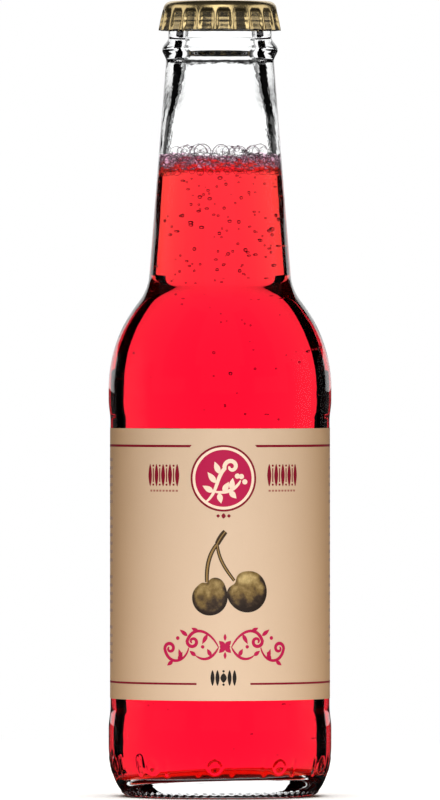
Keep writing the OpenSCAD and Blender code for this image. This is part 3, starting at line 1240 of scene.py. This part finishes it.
def flag_sectors():
    """Every flag as its distance, foot, top, first turn and width in degrees. Turn 0 is behind the object."""
    sectors = []
    for count, distance, foot, top, low, high in FLAG_TIERS:
        starts = [low, -high]
        if count > 2:
            starts += [180 - high, low - 180]
        if count > 4:
            starts += [90 + start for start in starts]
        sectors += [(distance, foot, top, start, high - low) for start in starts]
    return sectors


def make_flags():
    """Black flags round the object, which draw the dark lines down the edges of clear glass."""
    material, tree = new_material("black_flag")
    tree.nodes.remove(tree.nodes["Principled BSDF"])
    black = tree.nodes.new("ShaderNodeEmission")
    black.inputs["Color"].default_value = (0, 0, 0, 1)
    black.inputs["Strength"].default_value = 0
    tree.links.new(black.outputs[0], tree.nodes["Material Output"].inputs["Surface"])
    for index, (distance, foot, top, start, width) in enumerate(flag_sectors()):
        bm = bmesh.new()
        verts = [bm.verts.new((0, distance, z)) for z in (foot, top)]
        edge = bm.edges.new(verts)
        turned = Matrix.Rotation(math.radians(start), 3, "Z")
        bmesh.ops.rotate(bm, cent=(0, 0, 0), matrix=turned, verts=verts)
        sweep(bm, verts + [edge], math.radians(width), 8)
        flag = add_object(f"flag_{index}", bm, [material])
        flag.visible_camera = False
        flag.visible_diffuse = False
        flag.visible_shadow = False


def make_world():
    """White low all round for what is seen through the glass. What the glass mirrors is dark in front."""
    world = bpy.data.worlds.new("studio")
    bpy.context.scene.world = world
    world.use_nodes = True
    tree = world.node_tree
    place = place_in(tree, "Generated")
    back, up = along(tree, place, "Y"), along(tree, place, "Z")
    path = tree.nodes.new("ShaderNodeLightPath")
    mirrored = reckon(tree, "GREATER_THAN", path.outputs["Glossy Depth"], 0.5)
    sky = eased(tree, up, 0.2, 0.42, THROUGH_LEVEL, DARK_LEVEL)
    backdrop = eased(tree, back, 0.74, 0.84, DARK_LEVEL, BACKDROP_LEVEL)
    through = blended(tree, mirrored, sky, eased(tree, back, -0.1, 0.3, DARK_LEVEL, sky))
    background = tree.nodes["Background"]
    plug(tree, background.inputs["Strength"], by_ray(tree, path, FILL_LEVEL, (
        ("Is Glossy Ray", backdrop), ("Is Diffuse Ray", FILL_LEVEL),
        ("Is Transmission Ray", through), ("Is Camera Ray", 1.0),
    )))
    warmth = blended(tree, path.outputs["Is Diffuse Ray"], (1, 1, 1, 1), (1, 0.8, 0.52, 1), "RGBA")
    tree.links.new(warmth, background.inputs["Color"])


def lit_only(light, names):
    """The light reaches only the pieces whose names start so."""
    group = bpy.data.collections.new(light.name + "_reaches")
    for piece in bpy.data.objects:
        if piece.type == "MESH" and piece.name.startswith(names):
            group.objects.link(piece)
    light.light_linking.receiver_collection = group


def aim(thing, place, target):
    """Moves a light or camera to a place and turns it to its target."""
    thing.location = place
    thing.rotation_euler = (Vector(target) - Vector(place)).to_track_quat("-Z", "Y").to_euler()
    bpy.context.scene.collection.objects.link(thing)


def add_softbox(name, place, target, size, power, names):
    data = bpy.data.lights.new(name, "AREA")
    data.shape = "RECTANGLE"
    data.size, data.size_y = size
    data.energy = power
    light = bpy.data.objects.new(name, data)
    aim(light, place, target)
    lit_only(light, names)


def make_camera():
    """A long lens far off, hardly above the middle of the object."""
    data = bpy.data.cameras.new("camera")
    data.lens = 598
    data.sensor_width = 36
    data.clip_end = 200
    camera = bpy.data.objects.new("camera", data)
    aim(camera, (0, -3.1, 0.1076), (0, 0, 0.0924))
    bpy.context.scene.camera = camera


make_floor()
make_flags()
make_world()
PAPER_NAMES = ("label", "emblem", "print", "cherr")
for name, place, target, size, power, names in (
    ("front_softbox", (0.12, -1.2, 0.35), (0, 0, 0.09), (0.5, 0.7), 8.2, PAPER_NAMES),
    ("back_softbox", (0.0, 1.2, 0.45), (0, 0, 0.09), (0.6, 0.6), 4, PAPER_NAMES),
    ("crown_key", (0.0, -0.8, 0.72), (0, 0, 0.18), (2.2, 0.45), 7.5, ("crown",)),
    ("crown_left", (-1.0, 0.1, 0.6), (0, 0, 0.18), (1.6, 0.5), 3.5, ("crown",)),
    ("crown_right", (1.0, 0.1, 0.6), (0, 0, 0.18), (1.6, 0.5), 3.5, ("crown",)),
    ("crown_back", (0.0, 1.0, 0.7), (0, 0, 0.18), (2.0, 0.5), 1.5, ("crown",)),
    ("floor_light", (0.0, 0.0, 1.5), (0, 0, 0), (1.5, 1.5), 42, ("floor",)),
):
    add_softbox(name, place, target, size, power, names)
make_camera()
bpy.context.scene.view_settings.view_transform = "Standard"
bpy.context.scene.cycles.max_bounces = 24
bpy.context.scene.cycles.transmission_bounces = 24
